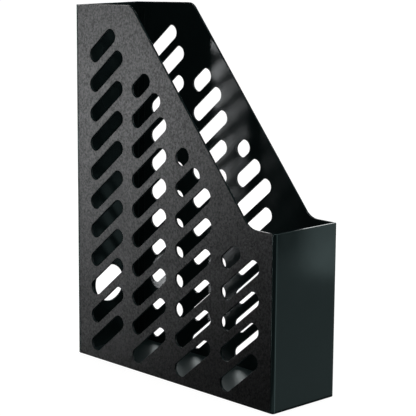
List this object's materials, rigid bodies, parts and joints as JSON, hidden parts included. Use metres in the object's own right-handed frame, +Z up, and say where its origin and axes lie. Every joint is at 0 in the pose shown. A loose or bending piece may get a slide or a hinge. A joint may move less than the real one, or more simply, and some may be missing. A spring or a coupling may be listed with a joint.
{
  "type": "magazine file holder",
  "caption": "Tall open box that keeps magazines and A4 folders upright, with slotted sides cut away to a low front and a finger hole low in the back.",
  "frame": {"origin": "on the ground, under the middle of the box", "axes": "+X across the width to the user's right seen from the low front, +Y from the low front to the tall back, +Z up"},
  "size_m": [0.0734, 0.248, 0.3198],
  "materials": {
    "grained_plastic": "fine spark-eroded grain",
    "satin_plastic": "smooth satin"
  },
  "bodies": {
    "root": {"side_panel_left": "grained_plastic", "side_panel_right": "grained_plastic", "front_wall": "satin_plastic", "back_wall": "satin_plastic", "floor_panel": "satin_plastic"}
  },
  "joints": []
}
